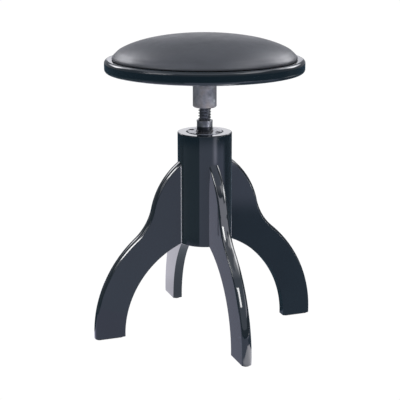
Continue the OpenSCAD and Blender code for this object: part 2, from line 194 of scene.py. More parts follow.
def smoothStep(value, low, high):
    share = min(1.0, max(0.0, (value - low) / (high - low)))
    return share * share * (3.0 - 2.0 * share)


def within(value, low, high, soft):
    return smoothStep(value, low - soft, low + soft) * (1.0 - smoothStep(value, high - soft, high + soft))


def bearingGap(a, b):
    return (a - b + 180.0) % 360.0 - 180.0


def lighten(light, colour, share):
    return tuple(a * (1.0 - share) + b * share for a, b in zip(light, colour))


def floorLight(bearing, distance, values):
    light = values["dark"]
    for low, high, near, far, colour, softSide, softEnd in values["sheets"]:
        middle, half = (low + high) / 2.0, (high - low) / 2.0
        side = within(bearingGap(bearing, middle), -half, half, softSide)
        out = within(distance, near - softEnd * (near == 0.0), far, softEnd)
        light = lighten(light, colour, side * out)
    a = math.radians(bearingGap(bearing, values["stripBearing"]))
    across, along = -distance * math.sin(a), distance * math.cos(a)
    for low, high, near, far, corner, colour, softSide, softEnd in values["strips"]:
        reach = min(far, corner + values["stripSlope"] * max(0.0, across - low))
        share = within(across, low, high, softSide) * within(along, near, reach, softEnd)
        light = lighten(light, colour, share)
    for x, y, wide, long, start, colour in values["glows"]:
        glow = math.exp(-((across - x) / wide) ** 2 - ((along - y) / long) ** 2)
        glow *= smoothStep(distance, start - values["glowEdge"], start + values["glowEdge"])
        light = tuple(c + d * glow for c, d in zip(light, colour))
    return light


def skyLight(bearing, elevation, values):
    light = lighten(values["horizon"], values["zenith"], smoothStep(elevation, 10.0, 80.0))
    for centre, height, width, tall, colour, soft in values["boxes"]:
        share = within(bearingGap(bearing, centre), -width / 2, width / 2, soft)
        share *= within(elevation, height - tall / 2, height + tall / 2, soft)
        light = lighten(light, colour, share)
    return light


def gridFaces(rows, columns, closed=True, first=0):
    # the faces between rows of points; closed rows come round to their first point
    faces = []
    for i in range(rows - 1):
        here, there = first + i * columns, first + (i + 1) * columns
        for j in range(columns if closed else columns - 1):
            k = (j + 1) % columns
            faces.append((here + j, here + k, there + k, there + j))
    return faces


def onlyInGloss(obj):
    obj.visible_camera = False
    obj.visible_diffuse = False
    obj.visible_transmission = False
    obj.visible_volume_scatter = False
    obj.visible_shadow = False


def addPainted(name, points, faces, colours, material):
    obj = addMesh(name, points, faces, [material])
    paint = obj.data.color_attributes.new(name="light", type="FLOAT_COLOR", domain="POINT")
    paint.data.foreach_set("color", [c for colour in colours for c in colour])
    onlyInGloss(obj)
    return obj


def ringGrid(name, rings, lightAt, step):
    # rings are (level radius, height, what the light depends on beside the bearing)
    steps = round(360.0 / step)
    points, colours = [], []
    for radius, height, second in rings:
        for i in range(steps):
            bearing = i * 360.0 / steps
            a = math.radians(bearing + cameraValues["turn"])
            points.append((radius * math.sin(a), radius * math.cos(a), height))
            colours.append((*lightAt(bearing, second), 1.0))
    addPainted(name, points, gridFaces(len(rings), steps), colours, glowMaterial(name, 1.0, True))


def product(material, first, second):
    times = material.node_tree.nodes.new("ShaderNodeMath")
    times.operation = "MULTIPLY"
    material.node_tree.links.new(first, times.inputs[0])
    material.node_tree.links.new(second, times.inputs[1])
    return times.outputs[0]


def hangingMaterial(name):
    # clear from above, and where its paint is clear
    material = glowMaterial(name, 1.0, True)
    nodes, links = material.node_tree.nodes, material.node_tree.links
    clear = nodes.new("ShaderNodeBsdfTransparent")
    mix = nodes.new("ShaderNodeMixShader")
    side = nodes.new("ShaderNodeNewGeometry")
    front = nodes.new("ShaderNodeMath")
    front.operation = "SUBTRACT"
    front.inputs[0].default_value = 1.0
    links.new(side.outputs["Backfacing"], front.inputs[1])
    links.new(product(material, front.outputs[0], nodes["Attribute"].outputs["Alpha"]), mix.inputs[0])
    links.new(clear.outputs[0], mix.inputs[1])
    links.new(nodes["Emission"].outputs[0], mix.inputs[2])
    links.new(mix.outputs[0], nodes["Material Output"].inputs["Surface"])
    return material


def hangLowSheet(name, sheet, material, across=40, out=24):
    height, low, high, farLow, farHigh, near, far, colour, softSide, softEnd = sheet
    start, stop = near - softEnd, far + softEnd
    points, colours = [], []
    for i in range(across + 1):
        for j in range(out + 1):
            r = start + (stop - start) * (j / out)
            share = min(1.0, max(0.0, (r - near) / (far - near)))
            left, right = low + (farLow - low) * share, high + (farHigh - high) * share
            bearing = left - softSide + (right - left + 2 * softSide) * (i / across)
            a = math.radians(bearing + cameraValues["turn"])
            points.append((r * math.sin(a), r * math.cos(a), height))
            shown = within(bearing, left, right, softSide) * within(r, near, far, softEnd)
            colours.append((*colour, shown))
    sheetFaces = gridFaces(across + 1, out + 1, closed=False)
    hung = addPainted(name, points, sheetFaces, colours, material)
    if hung.data.polygons[0].normal.z > 0.0:
        hung.data.flip_normals()


def makeStudio(values):
    world = bpy.data.worlds.new("whiteRoom")
    scene.world = world
    world.use_nodes = True
    background = world.node_tree.nodes["Background"]
    background.inputs["Color"].default_value = (1.0, 1.0, 1.0, 1.0)
    background.inputs["Strength"].default_value = values["roomWhite"]
    world.cycles_visibility.glossy = False

    half, level = values["floorHalf"], values["floorLevel"]
    corners = [(-half, -half, level), (half, -half, level), (half, half, level), (-half, half, level)]
    floor = addMesh("floor", corners, [(0, 1, 2, 3)], [glowMaterial("paleFloor", values["floorWhite"])])
    floor.visible_glossy = False
    floor.visible_shadow = False

    # rings 20 mm apart out to 2 m, then 100 mm apart out to 6 m
    distances = [0.01 + 0.02 * k for k in range(100)] + [2.1 + 0.1 * k for k in range(40)]
    rings = [(d, values["sheetLevel"], d) for d in distances]
    ringGrid("floorSheets", rings, lambda bearing, distance: floorLight(bearing, distance, values), 0.6)
    # the dome, from 15 degrees below level to straight up
    dome, middle, rings = values["domeRadius"], values["domeMiddle"], []
    for elevation in [-15 + 1.5 * k for k in range(70)] + [89.9]:
        up = math.radians(elevation)
        rings.append((dome * math.cos(up), middle + dome * math.sin(up), elevation))
    ringGrid("roomLights", rings, lambda bearing, elevation: skyLight(bearing, elevation, values), 1.5)
    material = hangingMaterial("hangingSheet")
    for number, sheet in enumerate(values["lowSheets"]):
        hangLowSheet("lowSheet%d" % number, sheet, material)


makeStudio(studioValues)
print("studio ready")


# finishes
def newFinish(name, baseColour, roughness, metallic=0.0):
    material = bpy.data.materials.new(name)
    material.use_nodes = True
    shader = material.node_tree.nodes["Principled BSDF"]
    shader.inputs["Base Color"].default_value = (*baseColour, 1.0)
    shader.inputs["Roughness"].default_value = roughness
    shader.inputs["Metallic"].default_value = metallic
    return material


def placeTexture(material, stretch=(1.0, 1.0, 1.0)):
    nodes, links = material.node_tree.nodes, material.node_tree.links
    place = nodes.new("ShaderNodeTexCoord")
    mapping = nodes.new("ShaderNodeMapping")
    mapping.inputs["Scale"].default_value = stretch
    links.new(place.outputs["Object"], mapping.inputs["Vector"])
    return mapping.outputs["Vector"]


def noiseTexture(material, vector, scale, detail=4.0, roughness=0.55):
    noise = material.node_tree.nodes.new("ShaderNodeTexNoise")
    noise.inputs["Scale"].default_value = scale
    noise.inputs["Detail"].default_value = detail
    noise.inputs["Roughness"].default_value = roughness
    material.node_tree.links.new(vector, noise.inputs["Vector"])
    return noise.outputs["Fac"]


def colourBetween(material, factor, low, high, span):
    ramp = material.node_tree.nodes.new("ShaderNodeValToRGB")
    for element, colour, place in zip(ramp.color_ramp.elements, (low, high), span):
        element.position = place
        element.color = (*colour, 1.0)
    material.node_tree.links.new(factor, ramp.inputs["Fac"])
    return ramp.outputs["Color"]


def valueBetween(material, factor, low, high, fromLow=0.3, fromHigh=0.7):
    span = material.node_tree.nodes.new("ShaderNodeMapRange")
    span.inputs["From Min"].default_value = fromLow
    span.inputs["From Max"].default_value = fromHigh
    span.inputs["To Min"].default_value = low
    span.inputs["To Max"].default_value = high
    material.node_tree.links.new(factor, span.inputs["Value"])
    return span.outputs["Result"]


def reliefFrom(material, height, strength, distance, under=None):
    bump = material.node_tree.nodes.new("ShaderNodeBump")
    bump.inputs["Strength"].default_value = strength
    bump.inputs["Distance"].default_value = distance
    material.node_tree.links.new(height, bump.inputs["Height"])
    if under is not None:
        material.node_tree.links.new(under, bump.inputs["Normal"])
    return bump.outputs["Normal"]


def connect(material, output, socket):
    material.node_tree.links.new(output, material.node_tree.nodes["Principled BSDF"].inputs[socket])


def laidOver(material, factor, under, colour):
    # one plain colour over what lies under it
    mix = material.node_tree.nodes.new("ShaderNodeMix")
    mix.data_type = "RGBA"
    material.node_tree.links.new(factor, mix.inputs["Factor"])
    material.node_tree.links.new(under, mix.inputs[6])
    mix.inputs[7].default_value = (*colour, 1.0)
    return mix.outputs[2]


# In the finishes a grain is its size, detail and roughness, a relief its strength and depth, and a span says
# which part of a grain runs between two colours.
# black piano lacquer: rubbed and polished, with a trace of orange peel and of dusting cloths
lacquerValues = {
    "deep": (0.0056, 0.0112, 0.0165),
    "hazy": (0.0070, 0.0135, 0.0195),
    "haze": (9.0, 3.0),
    "span": (0.35, 0.7),
    "gloss": (0.030, 0.065),
    "rub": (70.0, 6.0, 0.7),
    "rubStretch": (1.0, 1.0, 0.35),
    "peel": (190.0, 1.5, 0.4),
    "peelRelief": (0.10, 0.00002),
    "swirl": (28.0, 2.0, 0.4),
    "swirlRelief": (0.05, 0.0002),
}


def makeLacquer(name, values):
    material = newFinish(name, values["deep"], 0.08)
    vector = placeTexture(material)
    haze = noiseTexture(material, vector, *values["haze"])
    colour = colourBetween(material, haze, values["deep"], values["hazy"], values["span"])
    connect(material, colour, "Base Color")
    rubbed = noiseTexture(material, placeTexture(material, values["rubStretch"]), *values["rub"])
    connect(material, valueBetween(material, rubbed, *values["gloss"]), "Roughness")
    peel = noiseTexture(material, vector, *values["peel"])
    swirl = noiseTexture(material, vector, *values["swirl"])
    normal = reliefFrom(material, peel, *values["peelRelief"])
    connect(material, reliefFrom(material, swirl, *values["swirlRelief"], normal), "Normal")
    return material


# black leatherette: a fine pebbled grain under a satin dressing
leatheretteValues = {
    "dark": (0.033, 0.037, 0.046),
    "light": (0.045, 0.050, 0.062),
    "blotch": (22.0, 5.0, 0.6),
    "span": (0.32, 0.72),
    "satin": (0.34, 0.44),
    "dressing": (45.0, 6.0, 0.65),
    "pebbleSize": 760.0,
    "pebbleSoft": 0.6,
    "pebbleRelief": (0.22, 0.00025),
    "crease": (150.0, 6.0, 0.7),
    "creaseRelief": (0.12, 0.0003),
    "sheen": 0.05,
}


def makeLeatherette(name, values):
    material = newFinish(name, values["dark"], 0.4)
    vector = placeTexture(material)
    blotch = noiseTexture(material, vector, *values["blotch"])
    colour = colourBetween(material, blotch, values["dark"], values["light"], values["span"])
    connect(material, colour, "Base Color")
    dressing = noiseTexture(material, vector, *values["dressing"])
    connect(material, valueBetween(material, dressing, *values["satin"]), "Roughness")
    pebble = material.node_tree.nodes.new("ShaderNodeTexVoronoi")
    pebble.feature = "SMOOTH_F1"
    pebble.inputs["Scale"].default_value = values["pebbleSize"]
    pebble.inputs["Smoothness"].default_value = values["pebbleSoft"]
    material.node_tree.links.new(vector, pebble.inputs["Vector"])
    normal = reliefFrom(material, pebble.outputs["Distance"], *values["pebbleRelief"])
    crease = noiseTexture(material, vector, *values["crease"])
    connect(material, reliefFrom(material, crease, *values["creaseRelief"], normal), "Normal")
    material.node_tree.nodes["Principled BSDF"].inputs["Sheen Weight"].default_value = values["sheen"]
    return material


# bare steel that has been handled: mill marks, dull patches and a little brown
wornSteelValues = {
    "dark": (0.17, 0.175, 0.195),
    "light": (0.40, 0.40, 0.425),
    "patches": (55.0, 7.0, 0.68),
    "span": (0.34, 0.68),
    "brown": (0.36, 0.31, 0.27),
    "stain": (26.0, 4.0, 0.6),
    "stainStretch": (1.0, 1.0, 0.6),
    "stainFrom": (0.0, 0.8, 0.47, 0.66),  # least and most brown, and where in the stain they begin
    "dull": (0.44, 0.62),
    "handling": (120.0, 6.0, 0.7),
    "mill": (900.0, 4.0, 0.6),
    "millStretch": (1.0, 1.0, 0.12),
    "millRelief": (0.25, 0.00015),
}


def makeWornSteel(name, values):
    material = newFinish(name, values["light"], 0.42, 0.72)
    vector = placeTexture(material)
    patches = noiseTexture(material, vector, *values["patches"])
    steel = colourBetween(material, patches, values["dark"], values["light"], values["span"])
    stain = noiseTexture(material, placeTexture(material, values["stainStretch"]), *values["stain"])
    stained = valueBetween(material, stain, *values["stainFrom"])
    connect(material, laidOver(material, stained, steel, values["brown"]), "Base Color")
    handling = noiseTexture(material, vector, *values["handling"])
    connect(material, valueBetween(material, handling, *values["dull"]), "Roughness")
    mill = noiseTexture(material, placeTexture(material, values["millStretch"]), *values["mill"])
    connect(material, reliefFrom(material, mill, *values["millRelief"]), "Normal")
    return material


# blackened steel of the nut, oiled
darkSteelValues = {
    "dark": (0.125, 0.130, 0.145),
    "light": (0.270, 0.275, 0.295),
    "patches": (130.0, 6.0, 0.62),
    "span": (0.36, 0.7),
    "oiled": (0.13, 0.27),
    "wiping": (210.0, 5.0, 0.6),
    "lathe": (1600.0, 3.0, 0.5),
    "latheStretch": (0.15, 0.15, 1.0),
    "latheRelief": (0.12, 0.0001),
    "footDark": (0.020, 0.022, 0.027),
    "footDarkTop": (0.3742, 0.3760),  # the collar's foot is darker, fading out between these heights
    "footDarkOut": (0.0154, 0.0160),  # and between these distances from the axis
}
# the screw, darker from its grease
screwSteelValues = dict(darkSteelValues, dark=(0.062, 0.067, 0.080), light=(0.135, 0.140, 0.160))


def makeDarkSteel(name, values):
    material = newFinish(name, values["dark"], 0.26, 0.65)
    nodes, links = material.node_tree.nodes, material.node_tree.links
    vector = placeTexture(material)
    patches = noiseTexture(material, vector, *values["patches"])
    steel = colourBetween(material, patches, values["dark"], values["light"], values["span"])
    # darker where a point is both low and near the axis
    parts = nodes.new("ShaderNodeSeparateXYZ")
    links.new(vector, parts.inputs[0])
    flat = nodes.new("ShaderNodeCombineXYZ")
    links.new(parts.outputs[0], flat.inputs[0])
    links.new(parts.outputs[1], flat.inputs[1])
    out = nodes.new("ShaderNodeVectorMath")
    out.operation = "LENGTH"
    links.new(flat.outputs[0], out.inputs[0])
    low = valueBetween(material, parts.outputs[2], 1.0, 0.0, *values["footDarkTop"])
    near = valueBetween(material, out.outputs["Value"], 1.0, 0.0, *values["footDarkOut"])
    connect(material, laidOver(material, product(material, low, near), steel, values["footDark"]), "Base Color")
    wiping = noiseTexture(material, vector, *values["wiping"])
    connect(material, valueBetween(material, wiping, *values["oiled"]), "Roughness")
    lathe = noiseTexture(material, placeTexture(material, values["latheStretch"]), *values["lathe"])
    connect(material, reliefFrom(material, lathe, *values["latheRelief"]), "Normal")
    return material


# the plainer finishes have one grain each
zincValues = {
    "base": (0.62, 0.63, 0.64),
    "dark": (0.42, 0.43, 0.45),
    "light": (0.62, 0.63, 0.64),
    "span": (0.35, 0.65),
    "roughness": 0.3,
    "dull": (0.22, 0.40),
    "grain": (420.0, 4.0, 0.6),
    "relief": (0.1, 0.0001),
    "sockets": {"Metallic": 1.0},
}
blackScrewValues = {
    "base": (0.006, 0.006, 0.007),
    "dark": (0.006, 0.006, 0.007),
    "light": (0.018, 0.018, 0.021),
    "span": (0.4, 0.75),
    "roughness": 0.7,
    "dull": (0.62, 0.85),
    "grain": (500.0, 4.0, 0.6),
    "relief": (0.15, 0.0001),
    "sockets": {"Specular IOR Level": 0.12},
}
bareWoodValues = {
    "base": (0.50, 0.33, 0.18),
    "dark": (0.30, 0.17, 0.08),
    "light": (0.50, 0.33, 0.18),
    "span": (0.35, 0.6),
    "roughness": 0.6,
    "stretch": (1.0, 0.08, 1.0),
    "grain": (160.0, 7.0, 0.6),
    "relief": (0.3, 0.0003),
}
feltValues = {
    "base": (0.020, 0.020, 0.020),
    "dark": (0.020, 0.020, 0.020),
    "light": (0.055, 0.053, 0.050),
    "span": (0.3, 0.75),
    "roughness": 0.95,
    "grain": (1500.0, 6.0, 0.75),
    "relief": (0.7, 0.0004),
    "sockets": {"Sheen Weight": 0.3},
}
foamValues = {
    "base": (0.62, 0.52, 0.30),
    "dark": (0.48, 0.39, 0.21),
    "light": (0.68, 0.58, 0.35),
    "span": (0.35, 0.6),
    "roughness": 0.95,
    "grain": (900.0, 3.0, 0.6),
    "relief": (0.6, 0.0005),
}
guidePlasticValues = {
    "base": (0.72, 0.70, 0.62),
    "dark": (0.66, 0.64, 0.56),
    "light": (0.76, 0.74, 0.67),
    "span": (0.3, 0.7),
    "roughness": 0.4,
    "grain": (90.0, 3.0, 0.5),
    "relief": (0.1, 0.0002),
}
# the joint beads' light grey is a painted highlight along each joint, not the fillet's own colour
paintedBeadValues = {
    "base": (0.17, 0.175, 0.195),
    "dark": (0.24, 0.245, 0.27),
    "light": (0.36, 0.365, 0.40),
    "span": (0.3, 0.7),
    "roughness": 0.45,
    "stretch": (1.0, 1.0, 0.3),
    "grain": (240.0, 5.0, 0.6),
    "relief": (0.2, 0.0001),
}


def makeGrained(name, values):
    material = newFinish(name, values["base"], values["roughness"])
    vector = placeTexture(material, values.get("stretch", (1.0, 1.0, 1.0)))
    grain = noiseTexture(material, vector, *values["grain"])
    colour = colourBetween(material, grain, values["dark"], values["light"], values["span"])
    connect(material, colour, "Base Color")
    if "dull" in values:
        connect(material, valueBetween(material, grain, *values["dull"]), "Roughness")
    connect(material, reliefFrom(material, grain, *values["relief"]), "Normal")
    for socket, amount in values.get("sockets", {}).items():
        material.node_tree.nodes["Principled BSDF"].inputs[socket].default_value = amount
    return material


finishes = {
    "lacquered_wood": makeLacquer("pianoLacquer", lacquerValues),
    "leatherette": makeLeatherette("blackLeatherette", leatheretteValues),
    "worn_steel": makeWornSteel("wornSteel", wornSteelValues),
    "dark_steel": makeDarkSteel("darkSteel", darkSteelValues),
    "screwSteel": makeDarkSteel("screwSteel", screwSteelValues),
    "zinc_steel": makeGrained("zincSteel", zincValues),
    "black_screws": makeGrained("blackScrew", blackScrewValues),
    "bare_wood": makeGrained("bareBeech", bareWoodValues),
    "felt": makeGrained("feltPad", feltValues),
    "foam": makeGrained("seatFoam", foamValues),
    "guide_plastic": makeGrained("guidePlastic", guidePlasticValues),
    "filler": makeGrained("cornerPaintedBead", paintedBeadValues),
}
for node in frame["nodes"].values():
    for holder in node.material_slots:
        if holder.material and holder.material.name in finishes:
            holder.material = finishes[holder.material.name]
print("finishes ready:", len(finishes))


# shapes
def softCorners(points, steps=5):
    # points are (radius, height, rounding); each corner with a rounding becomes an arc
    line = []
    for i, (r, z, rounding) in enumerate(points):
        if rounding <= 0.0 or i in (0, len(points) - 1):
            line.append((r, z))
            continue
        here = Vector((r, z))
        back = (Vector(points[i - 1][:2]) - here).normalized()
        on = (Vector(points[i + 1][:2]) - here).normalized()
        half = back.angle(on) / 2.0
        reach = rounding / math.tan(half)
        middle = here + (back + on).normalized() * (rounding / math.sin(half))
        start = here + back * reach - middle
        stop = here + on * reach - middle
        sweep = start.angle(stop)
        for k in range(steps + 1):
            share = k / steps
            before, after = math.sin((1.0 - share) * sweep), math.sin(share * sweep)
            line.append(tuple(middle + (start * before + stop * after) / math.sin(sweep)))
    return line


def turnedPoint(point, angle):
    x, y, z = point
    return (x * math.cos(angle) - y * math.sin(angle), x * math.sin(angle) + y * math.cos(angle), z)


def ringPoints(r, z, steps):
    # a ring about the axis, or one point where it lies on the axis
    if r < 1e-6:
        return [(0.0, 0.0, z)]
    angles = [2 * math.pi * i / steps for i in range(steps)]
    return [(r * math.cos(a), r * math.sin(a), z) for a in angles]


def ringFaces(rings):
    # the faces between rings of corners; where a ring is one point they are triangles
    faces = []
    for low, high in zip(rings, rings[1:]):
        for i in range(len(low)):
            j = (i + 1) % len(low)
            corners = []
            for c in (low[i], low[j], high[j], high[i]):
                if c not in corners:
                    corners.append(c)
            faces.append(tuple(corners))
    return faces


def turnedMesh(name, line, steps, material, angle=35.0, weighted=True):
    # turns a line of (radius, height) about the column's axis; it closes on itself where it ends on the axis
    points, rings = [], []
    for r, z in line:
        ring = ringPoints(r, z, steps)
        rings.append([len(points) + i % len(ring) for i in range(steps)])
        points += ring
    obj = addMesh(name, points, ringFaces(rings), [material])
    finishMesh(obj, angle, weighted)
    return obj


def finishMesh(obj, angle=35.0, weighted=True):
    form = bmesh.new()
    form.from_mesh(obj.data)
    bmesh.ops.remove_doubles(form, verts=form.verts, dist=1e-7)
    bmesh.ops.recalc_face_normals(form, faces=form.faces)
    form.to_mesh(obj.data)
    form.free()
    obj.data.polygons.foreach_set("use_smooth", [True] * len(obj.data.polygons))
    obj.data.set_sharp_from_angle(angle=math.radians(angle))
    if weighted:
        modifier = obj.modifiers.new("evenShading", "WEIGHTED_NORMAL")
        modifier.keep_sharp = True


def arcPoints(centre, radius, start, stop, steps):
    points = []
    for i in range(steps + 1):
        a = math.radians(start + (stop - start) * i / steps)
        points.append(Vector((centre[0] + radius * math.cos(a), centre[1] + radius * math.sin(a))))
    return points


# the legs: ogee planks with rounded outer edges, whose upper ends run a little way into the column
legValues = {
    "thick": 0.018,
    "round": 0.0055,  # how far the outer edge is rounded back
    "crown": 2.4,  # 2 is an ellipse, more is flatter in the middle
    "ease": 0.0010,  # all other edges
    "low": 0.0015,  # on the felt
    "stance": 0.2095,
    "footIn": 0.1545,
    "knee": {"centre": (-0.0145, 0.010), "radius": 0.224, "start": 0.0, "stop": 49.215, "steps": 44},
    "waist": {"centre": (0.195838, 0.253807), "radius": 0.098, "start": 229.215, "stop": 192.236, "steps": 20},
    "shoulder": {"centre": (-0.0348, 0.203788), "radius": 0.138, "start": 12.236, "stop": 55.4, "steps": 28},
    "arch": {"centre": (-0.020398, 0.004027), "radius": 0.175, "start": 1.956, "stop": 66.904},
    "inside": 0.0440,  # how far in the column the plank's end is, from the axis
    "endDrop": 0.004,  # how much lower the plank's end stops there than the shoulder
    "roundSteps": 11,
}


def legLines(values):
    outer = []
    for part in ("knee", "waist", "shoulder"):
        line = arcPoints(**values[part])
        outer += line[1:] if outer else line
    archCount = values["knee"]["steps"] + values["waist"]["steps"] // 2 + 1
    inner = arcPoints(**values["arch"], steps=archCount - 1)
    # above the arch the line goes into the column and up to the top
    last, top, left = inner[-1], outer[-1].y - values["endDrop"], len(outer) - archCount
    for i in range(left):
        share = (i + 1) / left
        x = last.x + (values["inside"] - last.x) * min(1.0, 3.0 * share)
        inner.append(Vector((x, last.y + (top - last.y) * share)))
    return outer, inner


def sideways(line, i):
    a, b = line[max(0, i - 1)], line[min(len(line) - 1, i + 1)]
    along = (b - a).normalized()
    return Vector((along.y, -along.x))


def makeLeg(name, node, turn, values):
    outer, inner = legLines(values)
    half, ease, low = values["thick"] / 2, values["ease"], values["low"]
    steps, power = values["roundSteps"], 2.0 / values["crown"]
    # the foot stands up straight, and its lower edge is eased
    rings = []
    for height, draw in ((low, ease), (low + ease * 0.3, ease * 0.3), (low + ease, 0.0)):
        heel, toe = Vector((values["footIn"] + draw, height)), Vector((values["stance"] - draw, height))
        rings.append((heel, toe, Vector((-1.0, 0.0)), Vector((1.0, 0.0)), draw))
    for i in range(len(outer)):
        rings.append((inner[i], outer[i], -sideways(inner, i), sideways(outer, i), 0.0))
    points = []
    for p, q, pOut, qOut, draw in rings:
        # one half of the ring, from the arch's eased edge to the middle of the rounded one, then the other
        flat = half - draw
        side = [(p, flat - ease), (p - pOut * ease * 0.3, flat - ease * 0.3), (p - pOut * ease, flat)]
        for k in range(steps + 1):
            a = math.pi / 2 * k / steps
            back = values["round"] * (1.0 - math.sin(a) ** power)
            side.append((q - qOut * back, max(0.00005, flat * math.cos(a) ** power)))
        points += [(s.x, y, s.y) for s, y in side] + [(s.x, -y, s.y) for s, y in reversed(side)]
    count = len(points) // len(rings)
    foot, end = range(count), range(len(points) - count, len(points))
    faces = gridFaces(len(rings), count) + [tuple(foot), tuple(reversed(end))]
    points = [turnedPoint(p, math.radians(turn)) for p in points]
    leg = addMesh(name, points, faces, [finishes["lacquered_wood"]])
    finishMesh(leg, 40.0)
    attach(leg, "stand")
    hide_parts(node)


for number, place in enumerate(("Right", "Back", "Left", "Front")):
    makeLeg("leg" + place, "leg_" + place.lower(), 90 * number, legValues)

# the fine fillet in each corner between a leg and the column, coloured light grey as a painted highlight along
# each joint
beadValues = {
    "radius": 0.0013,
    "column": 0.04825,
    "low": 0.1672,
    "high": 0.3080,
    "steps": 8,
    "without": (270, -1),  # the corner to the left of the front leg has none
}


def makeJointBeads(values):
    small, big, half = values["radius"], values["column"], legValues["thick"] / 2
    centre = (math.sqrt((big + small) ** 2 - (half + small) ** 2), half + small)
    stop = math.degrees(math.atan2(centre[1], centre[0])) - 180.0
    hollow = arcPoints(centre, small, -90.0, stop, values["steps"])
    # the last point lies just inside both, so that the bead is sunk in the corner
    section = [(p.x, p.y) for p in hollow] + [(centre[0] - small - 0.0006, half - 0.0004)]
    count = len(section)
    points, faces = [], []
    for turn in (0, 90, 180, 270):
        for side in (1, -1):
            if (turn, side) == values["without"]:
                continue
            first = len(points)
            for z in (values["low"], values["high"]):
                points += [turnedPoint((x, y * side, z), math.radians(turn)) for x, y in section]
            faces += gridFaces(2, count, first=first)
            faces += [tuple(range(first, first + count)), tuple(range(first + count, first + 2 * count))]
    # the beads' light grey finish is a painted highlight
    beads = addMesh("jointHighlightBeads", points, faces, [finishes["filler"]])
    finishMesh(beads, 40.0, weighted=False)
    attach(beads, "stand")


makeJointBeads(beadValues)
# the legs and the column aren't mirrored in other gloss, as if each part were flagged off
for obj in list(scene.objects):
    if obj.type == "MESH" and obj.name.startswith("leg"):
        obj.visible_glossy = False
frame["nodes"]["column"].visible_glossy = False
print("legs made")


# the nut: barrel, flange let into the column, and the collar with its turned lip
nutValues = {
    "bore": 0.0111,
    "barrel": 0.0168,
    "flange": 0.0330,
    "rebate": 0.0310,
    "collar": 0.0139,
    "lip": 0.01425,
    "foot": 0.0152,
    # heights, from the barrel's end up to the lip
    "barrelEnd": 0.3300,
    "flangeUnder": 0.3600,
    "rebateFloor": 0.3622,
    "flangeTop": 0.3660,
    "footTop": 0.3676,
    "collarFrom": 0.3684,
    "collarTo": 0.3822,
    "lipFrom": 0.3832,
    "lipTop": 0.3860,
    "boreEdge": 0.3848,
    "steps": 160,
}


def makeNut(values):
    bore, barrel, flange, rebate = values["bore"], values["barrel"], values["flange"], values["rebate"]
    collar, lip, foot = values["collar"], values["lip"], values["foot"]
    line = softCorners([
        (bore, values["barrelEnd"], 0), (barrel, values["barrelEnd"], 0.0006),
        (barrel, values["flangeUnder"], 0), (flange, values["flangeUnder"], 0.0003),
        (flange, values["rebateFloor"], 0.0003), (rebate, values["rebateFloor"], 0),
        (rebate, values["flangeTop"], 0.0005), (foot, values["flangeTop"], 0.0003),
        (foot, values["footTop"], 0.0006), (collar, values["collarFrom"], 0.0008),
        (collar, values["collarTo"], 0.0010), (lip, values["lipFrom"], 0.0008),
        (lip, values["lipTop"], 0.0008), (bore + 0.0010, values["lipTop"], 0.0003),
        (bore, values["boreEdge"], 0.0004), (bore, values["barrelEnd"], 0)])
    nut = turnedMesh("spindleNut", line, values["steps"], finishes["dark_steel"])
    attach(nut, "stand")
    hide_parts("spindle_nut")


makeNut(nutValues)


# countersunk screws: a head with a cross recess, and the shank below it
screwValues = {
    "head": 0.0050,
    "headRim": 0.0005,
    "shank": 0.0025,
    "recess": 0.0026,  # half the length of the cross
    "recessWidth": 0.0011,
    "recessDepth": 0.0016,
    "rings": 14,
    "steps": 48,
}
# where each set of four stands, and how far each screw of it is turned in
nutScrewValues = {
    "height": 0.3663,
    "circle": 0.026,
    "first": 45,
    "upward": True,
    "length": 0.028,
    "turns": (12, 57, 31, 74),
}
plateScrewValues = {
    "height": 0.4670,
    "circle": 0.050,
    "first": 45,
    "upward": False,
    "length": 0.019,
    "turns": (20, 64, 8, 41),
}
cushionScrewValues = {
    "height": 0.4720,
    "circle": 0.1155,
    "first": 0,
    "upward": False,
    "length": 0.029,
    "turns": (33, 5, 71, 48),
}


def screwGeometry(values, length):
    # head up at z = 0, point down
    head, shank, under = values["head"], values["shank"], values["headRim"]
    recess, deep = values["recess"], values["recessDepth"]
    steps, rings = values["steps"], values["rings"]
    form = bmesh.new()

    def skin(low, high):
        for i in range(steps):
            j = (i + 1) % steps
            form.faces.new([low[i], high[i], high[j]] + ([low[j]] if low[j] != low[i] else []))

    # the head's top is a fine disc that falls off at its rim, and whose cross is pressed in
    last = [form.verts.new((0.0, 0.0, -deep))] * steps
    for k in range(1, rings + 1):
        r = head * k / rings
        ring = []
        for x, y, level in ringPoints(r, -max(0.0, r - head * 0.9) * 0.5, steps):
            arm, across = max(abs(x), abs(y)), min(abs(x), abs(y))
            width = values["recessWidth"] / 2 * (1.0 - 0.35 * arm / recess)
            if arm < recess and across < width:
                level -= deep * (1.0 - (arm / recess) ** 2 * 0.55)
            ring.append(form.verts.new((x, y, level)))
        skin(last, ring)
        last = ring
    neck = -under - (head - shank)
    for r, z in ((head, -under), (shank, neck), (shank, -length + 0.006), (0.0004, -length)):
        ring = [form.verts.new(p) for p in ringPoints(r, z, steps)]
        skin(last, ring)
        last = ring
    form.faces.new(last[::-1])
    bmesh.ops.recalc_face_normals(form, faces=form.faces)
    form.verts.index_update()
    points = [v.co.copy() for v in form.verts]
    faces = [tuple(v.index for v in f.verts) for f in form.faces]
    form.free()
    return points, faces


def makeScrews(name, node, body, slot, place, values):
    points, faces = screwGeometry(values, place["length"])
    allPoints, allFaces = [], []
    for i, turn in enumerate(place["turns"]):
        a, first = math.radians(place["first"] + 90 * i), len(allPoints)
        for p in points:
            x, y, z = turnedPoint(p, math.radians(turn))
            height = place["height"] + (z if place["upward"] else -z)
            allPoints.append((place["circle"] * math.cos(a) + x, place["circle"] * math.sin(a) + y, height))
        allFaces += [tuple(first + c for c in f) for f in faces]
    screws = addMesh(name, allPoints, allFaces, [finishes[slot]])
    finishMesh(screws, 30.0, weighted=False)
    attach(screws, body)
    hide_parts(node)


